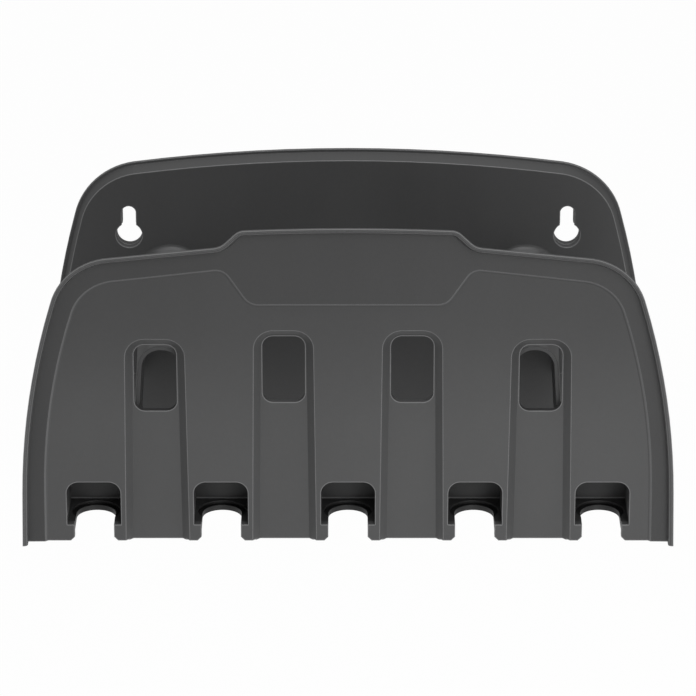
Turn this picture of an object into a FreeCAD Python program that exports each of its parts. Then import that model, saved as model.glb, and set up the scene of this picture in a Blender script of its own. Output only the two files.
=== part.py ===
import FreeCAD, Part
import Sketcher
import math
import os
import re

# Wall-mounted hose hanger, injection moulded in one piece from dark grey plastic.
# X runs along the wall, Y from the front shield to the wall, Z up. The origin is the
# centre of the footprint, at the height of the lower edges. All lengths in millimetres.

doc = FreeCAD.newDocument("hose_hanger")
sheet = doc.addObject("Spreadsheet::Sheet", "Sizes")

SIZES = [
    # Spacing of the plates, and the walls
    ("gap_depth", "109", "front face of the shield to the front face of the wall plate"),
    ("wall", "2.6", "wall of the shield, the wall plate and the bearers"),
    # Front shield, outer edge
    ("half_width", "134.5", "half the width at the lower edge"),
    ("side_draft", "0.6", "the sides lean in by this up to side_height"),
    ("side_height", "24", "height at which the sides start to curve"),
    ("corner_in", "14.1", "foot of the upper corner, in from half_width"),
    ("corner_drop", "24.4", "foot of the upper corner, below the shoulder"),
    ("corner_run", "36", "head of the upper corner, in from half_width"),
    ("corner_radius", "27", "radius of the upper corner"),
    ("side_lean", "25", "direction in which the corner's foot faces, above level, in degrees"),
    ("top_fall", "4.6", "the top edge falls by this from the shoulder to the corner"),
    ("shoulder_height", "131.6", "height of the top edge beside the crest"),
    ("shoulder_place", "54", "half the distance between the two shoulders"),
    ("ramp_run", "4.4", "width of each round at the foot of the crest"),
    ("ramp_rise", "2", "height of each round at the foot of the crest"),
    ("ramp_width", "4", "width of the straight ramp up to the crest"),
    ("ramp_height", "3.8", "height of the straight ramp up to the crest"),
    ("crest_run", "4.2", "width of the round at the head of the ramp"),
    ("crest_rise", "1.7", "height of the round at the head of the ramp"),
    ("crest_bow_radius", "950", "the crest's top edge is this gentle an arc"),
    # Front shield, rim and panel
    ("rim_reach", "5", "the rim stands this far in front of the panel"),
    ("rim_width", "2.1", "width of the rim"),
    ("rim_round", "1.3", "rounding of the rim's inner edge"),
    ("rim_land", "1.2", "depth of the rim's outer edge, before the shield falls away behind it"),
    ("rim_lean", "1.4", "along the top the rim's inner side leans in by this"),
    ("back_lean", "3", "along the top the shield's outer side falls by this behind the rim"),
    ("back_lean_side", "0.4", "the same at the sides"),
    ("flank_reach", "0.8", "the flank stands this far in front of the panel"),
    ("step_width", "1.2", "width of the sloping step between panel and flank"),
    ("foot_rise", "0.5", "the panel's lower edge is this far above the rim's"),
    ("contour_side", "10.3", "width of the flank at the sides"),
    ("contour_top", "12", "width of the flank along the top"),
    ("contour_turn", "4.2", "the contour's upper corner is in from the edge's by this"),
    ("contour_radius", "19", "radius of the contour's upper corner"),
    ("dip_run", "5", "width of the contour's round beside the crest field"),
    ("dip_fall", "2.3", "height of the contour's round beside the crest field"),
    ("dip_width", "6.2", "width of the contour's straight slope"),
    ("dip_height", "9.2", "height of the contour's straight slope"),
    ("field_run", "6.5", "width of the round at the foot of the crest field"),
    ("field_fall", "3.4", "height of the round at the foot of the crest field"),
    # Accessory niches along the lower edge
    ("niche_pitch", "52.5", "distance between neighbouring niches"),
    ("niche_width", "22.3", "clear width of a niche"),
    ("niche_height", "26.7", "top of a niche"),
    ("niche_round", "5", "radius of a niche's upper corners"),
    ("niche_depth", "26.5", "front of the panel to the rear wall of a niche"),
    ("niche_wall", "2.2", "side, rear and top walls of a niche"),
    ("shelf_top", "7.5", "height of the shelf, and of the lip in front of it"),
    ("shelf_thickness", "3.5", "thickness of the shelf"),
    ("mouth_width", "16.3", "width of the gap that takes the neck of an accessory"),
    ("mouth_chamfer", "2", "chamfer at the lower corners of the gap"),
    ("seat_centre", "14.3", "front of the panel to the centre of the round seat"),
    ("rest_radius", "10.1", "radius of the shallow recess round the seat"),
    ("rest_depth", "1.2", "depth of the shallow recess"),
    # Grooves and windows between the niches
    ("groove_half_top", "12.2", "half the width of a groove at its top"),
    ("groove_half_foot", "13.2", "half the width of a groove at its foot"),
    ("groove_depth", "3", "a groove's floor lies this far behind the panel's face"),
    ("groove_slope", "3", "width of a groove's sloping sides"),
    ("groove_round", "8", "radius of a groove's upper corners"),
    ("floor_round", "5.2", "radius of the upper corners of a groove's floor"),
    ("outer_groove_top", "90.3", "top of the two outer grooves"),
    ("inner_groove_top", "94.1", "top of the two inner grooves"),
    ("window_half", "8.7", "half the width of a window"),
    ("window_height", "29.2", "height of a window"),
    ("window_round", "4.4", "radius of a window's corners"),
    ("window_drop", "3.6", "top of a window below the top of its groove"),
    # Bearers that carry the hose
    ("bearer_place", "76.4", "half the distance between the two bearers"),
    ("bearer_axis", "75.2", "height that a bearer's upper rounds are centred on"),
    ("bearer_flat", "0.4", "half the width of the flat between a bearer's upper rounds"),
    ("bearer_round_front", "9.2", "radius of a bearer's upper rounds at the shield"),
    ("bearer_round_back", "13.1", "radius of a bearer's upper rounds at the wall plate"),
    ("bearer_flare", "2.5", "each side of a bearer spreads by this down to its foot"),
    ("bearer_foot_front", "38", "foot of a bearer at the shield"),
    ("bearer_foot_back", "30", "foot of a bearer at the wall plate"),
    ("bearer_lip", "1.3", "wall of a bearer where it meets the window in the shield"),
    ("root_round", "1.8", "rounding where a bearer meets a plate"),
    # Wall plate
    ("plate_half_width", "131", "half the width at the lower edge"),
    ("plate_draft", "0.7", "the sides lean in by this up to plate_side_height"),
    ("plate_side_height", "20", "height at which the sides start to curve"),
    ("plate_corner_in", "13.2", "foot of the upper corner, in from plate_half_width"),
    ("plate_corner_drop", "23.9", "foot of the upper corner, below its head"),
    ("plate_corner_run", "39", "head of the upper corner, in from plate_half_width"),
    ("plate_corner_radius", "31.4", "radius of the upper corner"),
    ("plate_corner_height", "125.6", "height of the head of the upper corner"),
    ("plate_bow_radius", "705", "the plate's top edge is this gentle an arc"),
    ("dish_depth", "7", "the plate's face stands this far off the wall"),
    ("dish_in", "3.3", "edge of the raised face, in from the plate's edge"),
    ("flange_width", "1.3", "width of the flange round the foot of the dish"),
    ("flange_thickness", "1.3", "thickness of the flange"),
    # Keyholes for two screws
    ("screw_place", "94.2", "half the distance between the two keyholes"),
    ("screw_height", "94.3", "height of the round part of a keyhole"),
    ("head_radius", "5.4", "radius of the round part, which the screw's head goes through"),
    ("shank_radius", "2.85", "half the width of the slot that the shank slides up into"),
    ("recess_width", "0.25", "the front of a keyhole is wider by this all round"),
    ("recess_depth", "3.2", "depth of the wider front of a keyhole"),
    ("slot_rise", "10.2", "centre of the round part to the centre of the slot's end"),
    ("collar_wall", "2.4", "wall of the collar behind each keyhole"),
    # How far a cut runs past the face that it opens
    ("overcut", "1", "run-out of a cut"),
]

for row, (name, value, note) in enumerate(SIZES, start=1):
    sheet.set(f"A{row}", name)
    sheet.set(f"B{row}", value)
    sheet.set(f"C{row}", note)
    sheet.setAlias(f"B{row}", name)
doc.recompute()

ALIASES = re.compile(r"\b(" + "|".join(name for name, value, note in SIZES) + r")\b")

# Places along Y that several pieces share, written in the sheet's own words
FRONT_FACE = "(rim_reach - gap_depth - dish_depth) / 2"
PLATE_FACE = "(rim_reach + gap_depth - dish_depth) / 2"
WALL_PLANE = "(rim_reach + gap_depth + dish_depth) / 2"
PANEL_BACK = f"{FRONT_FACE} + wall"
GROOVE_BACK = f"{PANEL_BACK} + groove_depth"


def size(text):
    """The value of a formula in the sheet's words."""
    return float(sheet.evalExpression(text))


def linked(text):
    """The same formula as other objects of the document have to write it."""
    return ALIASES.sub(r"Sizes.\1", text)


body = doc.addObject("PartDesign::Body", "hanger_body")
body.Label = "hanger_body"
body.Placement = FreeCAD.Placement()


def origin_plane(role):
    for feature in body.Origin.OriginFeatures:
        if feature.Role == role:
            return feature


def new_sketch(name, plane, offset):
    """A sketch on one of the body's planes, moved along the plane's normal."""
    sketch = body.newObject("Sketcher::SketchObject", name)
    sketch.AttachmentSupport = (origin_plane(plane), [""])
    sketch.MapMode = "FlatFace"
    sketch.setExpression("AttachmentOffset.Base.z", linked(offset))
    return sketch


def upright_sketch(name, y_place):
    """A sketch that stands in the XZ plane at a place along Y; its normal points to the front."""
    return new_sketch(name, "XZ_Plane", f"-({y_place})")


def arc_by_radius(start, end, radius, turn):
    """Centre of the arc from start to end; turn is 1 anticlockwise and -1 clockwise."""
    chord = end - start
    reach = math.sqrt(max(radius ** 2 - (chord.Length / 2) ** 2, 0))
    side = FreeCAD.Vector(-chord.y, chord.x, 0).normalize()
    return (start + end) * 0.5 + side * reach * turn


def arc_by_tangent(start, end, heading):
    """Centre and turn of the arc that leaves start along heading and ends at end."""
    side = FreeCAD.Vector(-heading.y, heading.x, 0).normalize()
    chord = end - start
    signed = chord.Length ** 2 / (2 * chord.dot(side))
    return start + side * signed, 1 if signed > 0 else -1


class Outline:
    """One closed outline in a sketch, drawn anticlockwise, with its dimensions bound to the sheet.

    corners holds (x formula, z formula, edge to the next corner). An edge is "line",
    ("radius", formula) for a convex arc, or "tangent" for an arc that carries on smoothly.
    """

    def __init__(self, sketch, corners, mirrored=False):
        self.sketch = sketch
        self.bindings = []
        self.constraints = []
        places = [FreeCAD.Vector(size(x), size(z), 0) for x, z, edge in corners]
        kinds = [edge for x, z, edge in corners]
        self.edges = []
        if mirrored:
            self.draw_mirrored(places, kinds)
        else:
            for i, kind in enumerate(kinds):
                self.add_edge(places[i], places[(i + 1) % len(places)], kind)
            self.close_joints(range(len(kinds)))
        for i, (x, z, edge) in enumerate(corners):
            self.pin(i, x, z)
        self.finish()

    def draw_mirrored(self, places, kinds):
        """The right half up to the middle, then the same edges down the left half."""
        flip = [FreeCAD.Vector(-p.x, p.y, 0) for p in places]
        count = len(places)
        for i in range(count - 1):
            self.add_edge(places[i], places[i + 1], kinds[i])
        self.add_edge(places[-1], flip[-1], kinds[-1])
        for i in range(count - 1, 0, -1):
            self.add_mirror(flip[i], flip[i - 1], i - 1)
        self.add_edge(flip[0], places[0], "line")
        self.close_joints(range(len(self.edges)))
        for i in range(count):
            left = 2 * count - 1 - i
            right_point = self.start_of(i)
            left_point = self.start_of(left)
            self.constraints.append(Sketcher.Constraint("Symmetric", *right_point, *left_point, -2))
        for i in range(count - 1):
            if self.edges[i]["arc"]:
                left = self.edges[2 * count - 2 - i]["index"]
                self.constraints.append(Sketcher.Constraint("Equal", self.edges[i]["index"], left))

    def add_edge(self, start, end, kind):
        edge = {"arc": kind != "line", "turn": 1, "smooth": kind == "tangent"}
        if kind == "line":
            edge["index"] = self.sketch.addGeometry(Part.LineSegment(start, end), False)
            edge["heading"] = end - start
        else:
            if kind == "tangent":
                centre, edge["turn"] = arc_by_tangent(start, end, self.edges[-1]["heading"])
            else:
                centre = arc_by_radius(start, end, size(kind[1]), 1)
            self.add_arc(edge, start, end, centre)
            if kind != "tangent":
                self.bindings.append((("Radius", edge["index"]), kind[1]))
        self.edges.append(edge)

    def add_mirror(self, start, end, partner):
        twin = self.edges[partner]
        edge = {"arc": twin["arc"], "turn": twin["turn"], "smooth": False}
        if twin["arc"]:
            centre = FreeCAD.Vector(-twin["centre"].x, twin["centre"].y, 0)
            self.add_arc(edge, start, end, centre)
        else:
            edge["index"] = self.sketch.addGeometry(Part.LineSegment(start, end), False)
        self.edges.append(edge)

    def add_arc(self, edge, start, end, centre):
        first, last = (start, end) if edge["turn"] > 0 else (end, start)
        circle = Part.Circle(centre, FreeCAD.Vector(0, 0, 1), (start - centre).Length)
        from_angle = math.atan2(first.y - centre.y, first.x - centre.x)
        to_angle = math.atan2(last.y - centre.y, last.x - centre.x)
        edge["index"] = self.sketch.addGeometry(Part.ArcOfCircle(circle, from_angle, to_angle), False)
        edge["centre"] = centre
        spoke = end - centre
        edge["heading"] = FreeCAD.Vector(-spoke.y, spoke.x, 0) * edge["turn"]

    def start_of(self, i):
        return self.edges[i]["index"], 1 if self.edges[i]["turn"] > 0 else 2

    def end_of(self, i):
        return self.edges[i]["index"], 2 if self.edges[i]["turn"] > 0 else 1

    def close_joints(self, order):
        for i in order:
            kind = "Tangent" if self.edges[i]["smooth"] else "Coincident"
            self.constraints.append(Sketcher.Constraint(kind, *self.end_of(i - 1), *self.start_of(i)))

    def pin(self, i, x, z):
        """Binds a corner's distances from the origin, whichever side of it the corner is on."""
        for axis, text in (("DistanceX", x), ("DistanceY", z)):
            if size(text) > 1e-6:
                self.bindings.append(((axis, -1, 1, *self.start_of(i)), text))
            elif size(text) < -1e-6:
                self.bindings.append(((axis, *self.start_of(i), -1, 1), f"-({text})"))
            else:
                line = -2 if axis == "DistanceX" else -1
                self.constraints.append(Sketcher.Constraint("PointOnObject", *self.start_of(i), line))

    def finish(self):
        self.sketch.addConstraint(self.constraints)
        for call, text in self.bindings:
            number = self.sketch.addConstraint(Sketcher.Constraint(*call, size(text)))
            self.sketch.setExpression(f"Constraints[{number}]", linked(text))


def pad(name, sketch, length, reverse=False):
    feature = body.newObject("PartDesign::Pad", name)
    feature.Profile = sketch
    feature.setExpression("Length", linked(length))
    feature.Reversed = reverse
    return feature


def pocket(name, sketch, length, reverse=False):
    feature = body.newObject("PartDesign::Pocket", name)
    feature.Profile = sketch
    feature.setExpression("Length", linked(length))
    feature.Reversed = reverse
    return feature


def loft(name, kind, sketches):
    feature = body.newObject(f"PartDesign::{kind}Loft", name)
    feature.Profile = sketches[0]
    feature.Sections = sketches[1:]
    feature.Ruled = True
    return feature


# Front shield. Its outer edge has a raised crest in the middle. The rim's inner edges
# follow it, and lie further in, by one distance at the sides and another along the top.
def shield_edge(name, y_place, side_in, top_in, foot):
    ramp = f"{top_in} * 0.7"
    corners = [
        (f"half_width - {side_in}", foot, "line"),
        (f"half_width - side_draft - {side_in}", "side_height", "tangent"),
        (f"half_width - corner_in - {side_in} * cos(side_lean)",
         f"shoulder_height - corner_drop - {top_in} * sin(side_lean)",
         ("radius", f"corner_radius - {side_in}")),
        ("half_width - corner_run", f"shoulder_height - top_fall - {top_in}", "line"),
        ("shoulder_place", f"shoulder_height - {top_in}", "tangent"),
        (f"shoulder_place - ramp_run - {ramp}", f"shoulder_height + ramp_rise - {ramp}", "line"),
        (f"shoulder_place - ramp_run - ramp_width - {ramp}",
         f"shoulder_height + ramp_rise + ramp_height - {ramp}", "tangent"),
        (f"shoulder_place - ramp_run - ramp_width - crest_run - {ramp}",
         f"shoulder_height + ramp_rise + ramp_height + crest_rise - {top_in}",
         ("radius", "crest_bow_radius")),
    ]
    sketch = upright_sketch(name, y_place)
    Outline(sketch, corners, mirrored=True)
    return sketch


# The edge of the flat panel. It follows the shield's edge at the sides and dips below the
# plain field of the crest. The step up to the flank ends further out, by step.
def panel_contour(name, y_place, step, foot):
    field_foot = "shoulder_height - contour_top - dip_fall - dip_height"
    corners = [
        (f"half_width - contour_side + {step}", foot, "line"),
        (f"half_width - side_draft / 2 - contour_side + {step}", "side_height", "tangent"),
        (f"half_width - corner_in - (contour_side - {step}) * cos(side_lean)",
         f"shoulder_height - corner_drop - (contour_top - {step}) * sin(side_lean)",
         ("radius", f"contour_radius + {step}")),
        ("half_width - corner_run - contour_turn",
         f"shoulder_height - top_fall - contour_top + {step}", "line"),
        ("shoulder_place", f"shoulder_height - contour_top + {step}", "tangent"),
        (f"shoulder_place - dip_run - {step} * 0.8",
         f"shoulder_height - contour_top - dip_fall + {step} * 0.6", "line"),
        (f"shoulder_place - dip_run - dip_width - {step} * 0.8", f"{field_foot} + {step} * 0.6", "tangent"),
        (f"shoulder_place - dip_run - dip_width - field_run - {step} * 0.4",
         f"{field_foot} - field_fall + {step}", "line"),
    ]
    sketch = upright_sketch(name, y_place)
    Outline(sketch, corners, mirrored=True)
    return sketch


RIM_FRONT = f"{FRONT_FACE} - rim_reach"
FLANK_FACE = f"{FRONT_FACE} - flank_reach"

pad("shield_rim", shield_edge("rim_outline", f"{RIM_FRONT} + rim_land", "0", "0", "0"), "rim_land")

loft("shield_back", "Additive", [
    shield_edge("shield_outline", f"{RIM_FRONT} + rim_land", "0", "0", "0"),
    shield_edge("flank_back_outline", f"{FLANK_FACE} + wall", "back_lean_side", "back_lean", "foot_rise"),
    panel_contour("panel_back_outline", PANEL_BACK, "0", "foot_rise"),
])

loft("shield_hollow", "Subtractive", [
    panel_contour("panel_outline", FRONT_FACE, "0", "-overcut"),
    panel_contour("step_outline", FLANK_FACE, "step_width", "-overcut"),
    shield_edge("rim_foot_outline", f"{FLANK_FACE} - 0.1", "rim_width",
                "(rim_width + rim_lean)", "-overcut"),
    shield_edge("rim_side_outline", f"{RIM_FRONT} + rim_round", "rim_width", "rim_width", "-overcut"),
    shield_edge("rim_round_outline", f"{RIM_FRONT} + rim_round * 0.3", "(rim_width - rim_round * 0.3)",
                "(rim_width - rim_round * 0.3)", "-overcut"),
    shield_edge("rim_face_outline", RIM_FRONT, "(rim_width - rim_round)",
                "(rim_width - rim_round)", "-overcut"),
    shield_edge("rim_open_outline", f"{RIM_FRONT} - overcut", "(rim_width - rim_round)",
                "(rim_width - rim_round)", "-overcut"),
])


# Wall plate: a shallow dish with a narrow flange, open towards the wall.
def plate_edge(name, y_place, inset, foot):
    corners = [
        (f"plate_half_width - {inset}", foot, "line"),
        (f"plate_half_width - plate_draft - {inset}", "plate_side_height", "tangent"),
        (f"plate_half_width - plate_corner_in - {inset}",
         "plate_corner_height - plate_corner_drop", ("radius", f"plate_corner_radius - {inset}")),
        ("plate_half_width - plate_corner_run", f"plate_corner_height - {inset}",
         ("radius", "plate_bow_radius")),
    ]
    sketch = upright_sketch(name, y_place)
    Outline(sketch, corners, mirrored=True)
    return sketch


FLANGE_FRONT = f"{WALL_PLANE} - flange_thickness"

loft("dish", "Additive", [
    plate_edge("dish_face_outline", PLATE_FACE, "dish_in", "dish_in"),
    plate_edge("dish_foot_outline", FLANGE_FRONT, "flange_width", "flange_width"),
])
pad("dish_flange", plate_edge("flange_outline", WALL_PLANE, "0", "0"), "flange_thickness")
loft("dish_hollow", "Subtractive", [
    plate_edge("hollow_floor_outline", f"{PLATE_FACE} + wall", "(dish_in + wall)", "(dish_in + wall)"),
    plate_edge("hollow_mouth_outline", f"{WALL_PLANE} + overcut", "(flange_width + wall)",
               "(flange_width + wall)"),
])


# Two hollow bearers carry the hose from the wall plate to the shield. They have rounded
# tops, spread downwards and taper to the front, and they are open at the bottom. Each
# upper round is part of a level cone. The roots on both plates are rounded, in steps that
# follow a quarter circle.
def bearer_section(name, side, y_place, end, inset, drop="0"):
    centre = f"{side} * bearer_place"
    foot = f"bearer_foot_{end} - {drop}"
    corner = f"(bearer_round_{end} - {inset})"
    high = f"(bearer_flat + {corner})"
    low = f"({high} + bearer_flare)"
    corners = [
        (f"{centre} - {low}", foot, "line"),
        (f"{centre} + {low}", foot, "line"),
        (f"{centre} + {high}", "bearer_axis", ("radius", corner)),
        (f"{centre} + bearer_flat", f"bearer_axis + {corner}", "line"),
        (f"{centre} - bearer_flat", f"bearer_axis + {corner}", ("radius", corner)),
        (f"{centre} - {high}", "bearer_axis", "line"),
    ]
    sketch = upright_sketch(name, y_place)
    Outline(sketch, corners)
    return sketch


ROOT_STEPS = [(0, 1), (0.13, 0.5), (0.5, 0.13), (1, 0)]

for side, hand in ((-1, "left"), (1, "right")):
    back, front = [], []
    for i, (away, wider) in enumerate(ROOT_STEPS):
        back.append(bearer_section(f"{hand}_bearer_back_{i}", side, f"{PLATE_FACE} - root_round * {away}",
                                   "back", f"(-root_round * {wider})"))
        front.append(bearer_section(f"{hand}_bearer_front_{i}", side, f"{PANEL_BACK} + root_round * {away}",
                                    "front", f"(-root_round * {wider})"))
    loft(f"{hand}_bearer", "Additive", back + front[::-1])


# Grooves in the shield, midway between the niches. The panel keeps its wall behind them.
def groove_outline(name, centre, y_place, top, narrower, corner, foot):
    half_top = f"(groove_half_top - {narrower})"
    half_foot = f"(groove_half_foot - {narrower})"
    corners = [
        (f"{centre} - {half_foot}", foot, "line"),
        (f"{centre} + {half_foot}", foot, "line"),
        (f"{centre} + {half_top}", f"{top} - {narrower} - {corner}", ("radius", corner)),
        (f"{centre} + {half_top} - {corner}", f"{top} - {narrower}", "line"),
        (f"{centre} - {half_top} + {corner}", f"{top} - {narrower}", ("radius", corner)),
        (f"{centre} - {half_top}", f"{top} - {narrower} - {corner}", "line"),
    ]
    sketch = upright_sketch(name, y_place)
    Outline(sketch, corners)
    return sketch


def window_outline(name, centre, y_place, top):
    low = f"{top} - window_drop - window_height"
    high = f"{top} - window_drop"
    inner = "(window_half - window_round)"
    corners = [
        (f"{centre} - {inner}", low, "line"),
        (f"{centre} + {inner}", low, ("radius", "window_round")),
        (f"{centre} + window_half", f"{low} + window_round", "line"),
        (f"{centre} + window_half", f"{high} - window_round", ("radius", "window_round")),
        (f"{centre} + {inner}", high, "line"),
        (f"{centre} - {inner}", high, ("radius", "window_round")),
        (f"{centre} - window_half", f"{high} - window_round", "line"),
        (f"{centre} - window_half", f"{low} + window_round", ("radius", "window_round")),
    ]
    sketch = upright_sketch(name, y_place)
    Outline(sketch, corners)
    return sketch


GROOVES = [
    ("groove_1", "-1.5 * niche_pitch", "outer_groove_top"),
    ("groove_2", "-0.5 * niche_pitch", "inner_groove_top"),
    ("groove_3", "0.5 * niche_pitch", "inner_groove_top"),
    ("groove_4", "1.5 * niche_pitch", "outer_groove_top"),
]

for name, centre, top in GROOVES:
    loft(f"{name}_back", "Additive", [
        groove_outline(f"{name}_back_foot", centre, f"{PANEL_BACK} - overcut", f"({top} + 1)", "(-1)",
                       "groove_round", "0"),
        groove_outline(f"{name}_back_face", centre, GROOVE_BACK, top, "(groove_slope - 1)",
                       "floor_round", "0"),
    ])

for side, hand in ((-1, "left"), (1, "right")):
    loft(f"{hand}_bearer_hollow", "Subtractive", [
        bearer_section(f"{hand}_hollow_back", side, PLATE_FACE, "back", "wall", "overcut"),
        bearer_section(f"{hand}_hollow_front", side, f"{GROOVE_BACK} + 6", "front", "wall", "overcut"),
        bearer_section(f"{hand}_hollow_lip", side, GROOVE_BACK, "front", "bearer_lip", "overcut"),
    ])

for name, centre, top in GROOVES:
    loft(f"{name}_cut", "Subtractive", [
        groove_outline(f"{name}_face", centre, FRONT_FACE, top, "0", "groove_round", "-overcut"),
        groove_outline(f"{name}_floor", centre, f"{FRONT_FACE} + groove_depth", top, "groove_slope",
                       "floor_round", "-overcut"),
    ])
    pocket(f"{name}_window", window_outline(f"{name}_window_outline", centre, FRONT_FACE, top),
           "wall + groove_depth + overcut")


# Five niches for hose fittings: an arched opening in the panel, a closed box behind it, and
# a shelf with a U-shaped seat that the neck of a fitting slides into.
def arch_outline(sketch, centre, half, low, high, corner):
    corners = [
        (f"{centre} - {half}", low, "line"),
        (f"{centre} + {half}", low, "line"),
        (f"{centre} + {half}", f"{high} - {corner}", ("radius", corner)),
        (f"{centre} + {half} - {corner}", high, "line"),
        (f"{centre} - {half} + {corner}", high, ("radius", corner)),
        (f"{centre} - {half}", f"{high} - {corner}", "line"),
    ]
    Outline(sketch, corners)


def mouth_outline(sketch, centre):
    half = "(mouth_width / 2)"
    corners = [
        (f"{centre} - {half} - mouth_chamfer - overcut", "-overcut", "line"),
        (f"{centre} + {half} + mouth_chamfer + overcut", "-overcut", "line"),
        (f"{centre} + {half}", "mouth_chamfer", "line"),
        (f"{centre} + {half}", "shelf_top + overcut", "line"),
        (f"{centre} - {half}", "shelf_top + overcut", "line"),
        (f"{centre} - {half}", "mouth_chamfer", "line"),
    ]
    Outline(sketch, corners)


def seat_outline(sketch, centre, radius):
    """Seen from above, with the front at the bottom of the sketch."""
    middle = f"{FRONT_FACE} + seat_centre"
    corners = [
        (f"{centre} - {radius}", f"{FRONT_FACE} - overcut", "line"),
        (f"{centre} + {radius}", f"{FRONT_FACE} - overcut", "line"),
        (f"{centre} + {radius}", middle, "tangent"),
        (f"{centre} - {radius}", middle, "line"),
    ]
    Outline(sketch, corners)


def round_outline(sketch, x_place, y_place, radius):
    corners = [
        (f"{x_place} + {radius}", y_place, ("radius", radius)),
        (x_place, f"{y_place} + {radius}", ("radius", radius)),
        (f"{x_place} - {radius}", y_place, ("radius", radius)),
        (x_place, f"{y_place} - {radius}", ("radius", radius)),
    ]
    Outline(sketch, corners)


NICHES = [f"{i} * niche_pitch" for i in (-2, -1, 0, 1, 2)]

boxes = upright_sketch("niche_boxes_outline", PANEL_BACK)
openings = upright_sketch("niche_openings_outline", FRONT_FACE)
mouths = upright_sketch("niche_mouths_outline", FRONT_FACE)
rests = new_sketch("niche_rests_outline", "XY_Plane", "shelf_top")
seats = new_sketch("niche_seats_outline", "XY_Plane", "0")
for centre in NICHES:
    arch_outline(boxes, centre, "(niche_width / 2 + niche_wall)", "shelf_top - shelf_thickness",
                 "(niche_height + niche_wall)", "(niche_round + niche_wall)")
    arch_outline(openings, centre, "(niche_width / 2)", "shelf_top", "niche_height", "niche_round")
    mouth_outline(mouths, centre)
    seat_outline(seats, centre, "(mouth_width / 2)")
    round_outline(rests, centre, f"({FRONT_FACE} + seat_centre)", "rest_radius")
pad("niche_boxes", boxes, "niche_depth + niche_wall - wall", reverse=True)
pocket("niche_openings", openings, "niche_depth")
pocket("niche_mouths", mouths, "wall + overcut")
pocket("niche_seats", seats, "shelf_top + overcut", reverse=True)
pocket("niche_rests", rests, "rest_depth")


# Keyholes for two screws, each with a collar that reaches the wall. The front of each is
# a little wider.
def keyhole_outline(sketch, side, wider):
    centre = f"{side} * screw_place"
    head = f"(head_radius + {wider})"
    shank = f"(shank_radius + {wider})"
    neck = f"screw_height + sqrt({head} ^ 2 - {shank} ^ 2)"
    corners = [
        (f"{centre} - {shank}", neck, ("radius", head)),
        (centre, f"screw_height - {head}", ("radius", head)),
        (f"{centre} + {shank}", neck, "line"),
        (f"{centre} + {shank}", "screw_height + slot_rise", "tangent"),
        (f"{centre} - {shank}", "screw_height + slot_rise", "line"),
    ]
    Outline(sketch, corners)


collars = upright_sketch("collars_outline", WALL_PLANE)
recesses = upright_sketch("keyhole_recesses_outline", PLATE_FACE)
keyholes = upright_sketch("keyholes_outline", PLATE_FACE)
for side in (-1, 1):
    keyhole_outline(collars, side, "(recess_width + collar_wall)")
    keyhole_outline(recesses, side, "recess_width")
    keyhole_outline(keyholes, side, "0")
pad("keyhole_collars", collars, "dish_depth")
pocket("keyholes", keyholes, "dish_depth + overcut")
pocket("keyhole_recesses", recesses, "recess_depth")

doc.recompute()

for obj in doc.Objects:
    if {"Invalid", "Error"} & set(obj.State):
        raise RuntimeError(f"{obj.Name}: {obj.getStatusString()}")
if body.Shape.isNull() or not body.Shape.isValid() or len(body.Shape.Solids) != 1:
    raise RuntimeError("the hanger is not one sound solid")

os.makedirs("parts", exist_ok=True)
body.Shape.exportStep("parts/hanger_body.step")
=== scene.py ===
import bpy
import math
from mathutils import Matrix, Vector

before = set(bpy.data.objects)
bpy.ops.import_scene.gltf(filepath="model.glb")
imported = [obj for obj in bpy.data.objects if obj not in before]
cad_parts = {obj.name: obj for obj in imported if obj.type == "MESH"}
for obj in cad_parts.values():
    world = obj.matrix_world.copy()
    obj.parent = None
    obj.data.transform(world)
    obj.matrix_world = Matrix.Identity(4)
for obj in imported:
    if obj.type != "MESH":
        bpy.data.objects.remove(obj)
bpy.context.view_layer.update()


# The hanger is one moulding of dark grey plastic, held on a wall by two screws in its keyholes.
# Its walls, grooves and seats come straight from the mould, which also gave its faces their
# fine matt grain.
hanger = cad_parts["hanger_body"]

grey_plastic = bpy.data.materials.new("grey_plastic")
grey_plastic.use_nodes = True


class Wire:
    """A value in a material: a socket, with the arithmetic that the surfaces below need."""

    def __init__(self, socket, nodes):
        self.socket = socket
        self.nodes = nodes

    def maths(self, operation, other, swapped=False):
        sides = (other, self) if swapped else (self, other)
        return self.nodes.add("ShaderNodeMath", {"operation": operation},
                              {0: sides[0], 1: sides[1]})

    def __add__(self, other):
        return self.maths("ADD", other)

    __radd__ = __add__

    def __mul__(self, other):
        return self.maths("MULTIPLY", other)

    __rmul__ = __mul__

    def __sub__(self, other):
        return self.maths("SUBTRACT", other)

    def __rsub__(self, other):
        return self.maths("SUBTRACT", other, swapped=True)


class Nodes:
    """Adds nodes to a material, or to the world, and wires them up."""

    def __init__(self, owner):
        self.tree = owner.node_tree
        self.tree.nodes.clear()

    def add(self, kind, settings=None, inputs=None, output=0):
        node = self.tree.nodes.new(kind)
        for name, value in (settings or {}).items():
            setattr(node, name, value)
        for name, value in (inputs or {}).items():
            if isinstance(value, Wire):
                self.tree.links.new(value.socket, node.inputs[name])
            else:
                node.inputs[name].default_value = value
        if node.outputs:
            return Wire(node.outputs[output], self)


plastic = Nodes(grey_plastic)
place = plastic.add("ShaderNodeTexCoord", output="Object")
depth = plastic.add("ShaderNodeSeparateXYZ", {}, {"Vector": place}, output="Y")
height = plastic.add("ShaderNodeSeparateXYZ", {}, {"Vector": place}, output="Z")


def noise(scale, detail, stretch=(1.0, 1.0, 1.0)):
    """Noise in the moulding; stretch makes it finer along an axis."""
    spread = plastic.add("ShaderNodeMapping", {}, {"Vector": place, "Scale": stretch})
    return plastic.add("ShaderNodeTexNoise", {},
                       {"Vector": spread, "Scale": scale, "Detail": detail, "Roughness": 0.55})


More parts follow.
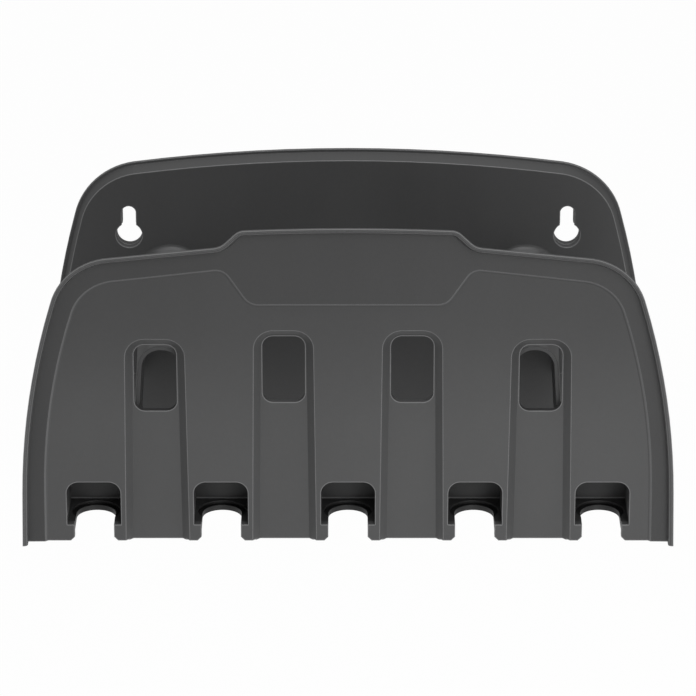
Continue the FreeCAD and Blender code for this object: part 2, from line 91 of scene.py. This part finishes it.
grain = noise(1700.0, 2.0)
speckle = noise(620.0, 1.0)
clouds = noise(14.0, 3.0)
flow = noise(9.0, 2.0, (6.0, 1.0, 1.0))


def rise(value, low, high):
    """0 where the value is below low, 1 above high, and smooth between; falls if high is less."""
    return plastic.add("ShaderNodeMapRange", {"interpolation_type": "SMOOTHSTEP"},
                       {"Value": value, "From Min": low, "From Max": high})


def between(value, start, full, fading, gone):
    """1 from full to fading, 0 before start and after gone, and smooth in the gaps."""
    return rise(value, start, full) * rise(value, gone, fading)


# The flank inside the rim and the crest field lie in one plane, where the mould is smoother. Their
# tone is painted darker, partly as painted shade from the rim and partly for the smoother finish.
FLANK_PLANE = -0.0563
FLANK_MARGIN = 0.00012
smooth = plastic.add("ShaderNodeMath", {"operation": "COMPARE"},
                     {0: depth, 1: FLANK_PLANE, 2: FLANK_MARGIN})

# The first mask takes in the shield, back to the floors of its grooves, and the second the
# wall plate.
GROOVE_FLOOR = -0.0525
PLATE_FACE = 0.0535
shield = rise(depth, GROOVE_FLOOR + 0.0010, GROOVE_FLOOR + 0.0004)
wall_plate = rise(depth, PLATE_FACE - 0.0015, PLATE_FACE - 0.0003)

# All edges are softened a little, and the outer ones of both plates are painted paler, a painted
# highlight along each edge. An outer edge is where a ray sent into the plastic soon meets another
# face.
EDGE_ROUND = 0.0003
EDGE_LIGHT_WIDTH = 0.0004
rounded = plastic.add("ShaderNodeBevel", {"samples": 8}, {"Radius": EDGE_ROUND})
open_inside = plastic.add("ShaderNodeAmbientOcclusion",
                          {"samples": 16, "inside": True, "only_local": True},
                          {"Distance": EDGE_LIGHT_WIDTH}, output="AO")
outer_edge = plastic.add("ShaderNodeMapRange", {},
                         {"Value": 1.0 - open_inside, "From Min": 0.012, "From Max": 0.09})
painted_edge_light = outer_edge * (shield + wall_plate)

# The small step from the panel to the flank is painted paler as well, a painted highlight along
# it.
PANEL_FACE = -0.0555
painted_step_light = between(depth, FLANK_PLANE + 0.00001, FLANK_PLANE + 0.00009,
               PANEL_FACE - 0.0004, PANEL_FACE - 0.0003)

# The foot of the shield is painted paler, painted light that grows towards the bottom, and the
# tops of the bearers, which the hose lies on and which rise a little to the wall, get a painted
# highlight where they face up.
PAINTED_LIGHT_ENDS, PAINTED_LIGHT_FULL = 0.105, 0.045
BEARER_SIDE, BEARER_CROWN, BEARER_SLOPE = 0.0842, 0.0862, 0.0366
SHIELD_BACK = -0.050
foot = rise(height, PAINTED_LIGHT_ENDS, PAINTED_LIGHT_FULL) * shield * (1.0 - smooth)
bearer_top = (rise(height - BEARER_SLOPE * depth, BEARER_SIDE, BEARER_CROWN)
              * rise(depth, SHIELD_BACK, SHIELD_BACK + 0.004) * (1.0 - wall_plate))
painted_bright_patches = (0.31 * foot + 0.95 * bearer_top) * (0.7 + 0.6 * clouds)

# The seats in the niches and, most of all, the bore through each shelf, below its round recess,
# are painted darker: painted shade inside the niches.
SHELF_TOP = 0.0075
RECESS_FLOOR = 0.0063
NICHE_BACK = -0.029
in_niche = between(depth, GROOVE_FLOOR, GROOVE_FLOOR + 0.0010, NICHE_BACK, NICHE_BACK + 0.0020)
seat = rise(height, SHELF_TOP + 0.0001, SHELF_TOP - 0.0003) * in_niche
bore = rise(height, RECESS_FLOOR + 0.0005, RECESS_FLOOR - 0.0001) * in_niche

# A fine line of painted highlight shows at the foot of each niche's rear wall, where it meets the
# shelf.
facing = plastic.add("ShaderNodeNewGeometry", output="True Normal")
facing_back = plastic.add("ShaderNodeSeparateXYZ", {}, {"Vector": facing}, output="Y")
painted_corner_light = (rise(height, SHELF_TOP + 0.0008, SHELF_TOP + 0.0004)
               * between(depth, NICHE_BACK - 0.0005, NICHE_BACK - 0.0001,
                         NICHE_BACK + 0.0015, NICHE_BACK + 0.0020)
               * rise(facing_back, -0.4, -0.6))

# The plastic's own tone comes first, with the flank's painted shade, then the painted highlights
# and the painted shade in the niches.
tone_and_flank_shade = 0.62 + 0.14 * clouds + 0.10 * flow + 0.08 * speckle - 0.13 * smooth
painted_highlights = painted_bright_patches + 1.7 * painted_edge_light + 0.7 * painted_step_light + 2.6 * painted_corner_light
painted_niche_shade = 0.35 * seat + 0.25 * bore
roughness = 0.44 + 0.16 * clouds - 0.08 * smooth - 0.06 * painted_edge_light - 0.08 * seat

BLACK = (0.0, 0.0, 0.0, 1.0)
FULL_GREY = (0.0662, 0.0665, 0.0672, 1.0)
MIX_FIRST, MIX_SECOND, MIX_RESULT = 6, 7, 2
colour = plastic.add("ShaderNodeMix", {"data_type": "RGBA", "clamp_factor": False},
                     {"Factor": tone_and_flank_shade + painted_highlights - painted_niche_shade, MIX_FIRST: BLACK,
                      MIX_SECOND: FULL_GREY}, output=MIX_RESULT)
relief = plastic.add("ShaderNodeBump", {},
                     {"Strength": 0.3, "Distance": 0.00012, "Height": grain, "Normal": rounded})
surface = plastic.add("ShaderNodeBsdfPrincipled", {},
                      {"Base Color": colour, "Roughness": roughness, "Normal": relief, "IOR": 1.5})
plastic.add("ShaderNodeOutputMaterial", {}, {"Surface": surface})

for slot in hanger.material_slots:
    slot.material = grey_plastic


# The floor is a wide sheet of white paper well below the hanger, which hangs on a wall when in
# use. It throws light up at the hanger, looks white to the camera, and takes a soft shadow.
FLOOR_SIZE = 8
FLOOR_HEIGHT = -0.25
PAPER = (0.9, 0.9, 0.9, 1.0)
WHITE = (1.0, 1.0, 1.0, 1.0)
WHITE_SHARE = 0.97

bpy.ops.object.select_all(action="DESELECT")
bpy.ops.mesh.primitive_plane_add(size=FLOOR_SIZE, location=(0, 0, FLOOR_HEIGHT))
floor = bpy.context.object
floor.name = "floor"
paper = bpy.data.materials.new("white_paper")
paper.use_nodes = True
sheet = Nodes(paper)
lit = sheet.add("ShaderNodeBsdfDiffuse", {}, {"Color": PAPER})
glow = sheet.add("ShaderNodeEmission", {}, {"Color": WHITE, "Strength": 1.0})
seen = sheet.add("ShaderNodeLightPath", output="Is Camera Ray")
mixed = sheet.add("ShaderNodeMixShader", {}, {0: seen * WHITE_SHARE, 1: lit, 2: glow})
sheet.add("ShaderNodeOutputMaterial", {}, {"Surface": mixed})
floor.data.materials.append(paper)


# Soft studio light. About half of it comes evenly from all round, as in a white tent. The
# key lamp stands above the camera, to its right, a weaker one stands low on that side, and
# one overhead picks out what faces up.
LAMP_AIM = Vector((0, 0, 0.07))
TENT_LIGHT = 0.43


def lamp(name, distance, azimuth, elevation, side, power):
    """A square lamp that faces the hanger, with its place in degrees round it and above it."""
    turn, climb = math.radians(azimuth), math.radians(elevation)
    way = Vector((math.sin(turn) * math.cos(climb), -math.cos(turn) * math.cos(climb),
                  math.sin(climb)))
    light = bpy.data.lights.new(name, "AREA")
    light.shape = "RECTANGLE"
    light.size = side
    light.size_y = side
    light.energy = power
    holder = bpy.data.objects.new(name, light)
    holder.location = LAMP_AIM + distance * way
    holder.rotation_euler = (-way).to_track_quat("-Z", "Y").to_euler()
    bpy.context.scene.collection.objects.link(holder)


lamp("key", distance=1.3, azimuth=18, elevation=36, side=0.6, power=4.5)
lamp("low_right", distance=0.8, azimuth=26, elevation=-10, side=0.5, power=0.9)
lamp("overhead", distance=1.3, azimuth=0, elevation=84, side=0.5, power=7)

world = bpy.data.worlds.new("surround")
bpy.context.scene.world = world
world.use_nodes = True
surround = Nodes(world)
in_view = surround.add("ShaderNodeLightPath", output="Is Camera Ray")
tent = surround.add("ShaderNodeBackground", {}, {
    "Color": WHITE, "Strength": TENT_LIGHT + (1.0 - TENT_LIGHT) * in_view})
surround.add("ShaderNodeOutputWorld", {}, {"Surface": tent})


# The camera stands 1.7 m from the foot of the shield and 25 degrees above it, with a long
# lens. It is turned down a little less than that, so the hanger is in the picture's middle.
SHIELD_FOOT = Vector((0, -0.0555, 0))
CAMERA_DISTANCE = 1.7
CAMERA_CLIMB = math.radians(25)
TURNED_DOWN = math.radians(22.3)

lens = bpy.data.cameras.new("camera")
lens.sensor_fit = "HORIZONTAL"
lens.sensor_width = 36
lens.lens = 211.9
camera = bpy.data.objects.new("camera", lens)
bpy.context.scene.collection.objects.link(camera)
camera.location = SHIELD_FOOT + CAMERA_DISTANCE * Vector(
    (0, -math.cos(CAMERA_CLIMB), math.sin(CAMERA_CLIMB)))
camera.rotation_euler = (math.radians(90) - TURNED_DOWN, 0, 0)
bpy.context.scene.camera = camera

bpy.context.scene.view_settings.view_transform = "Standard"
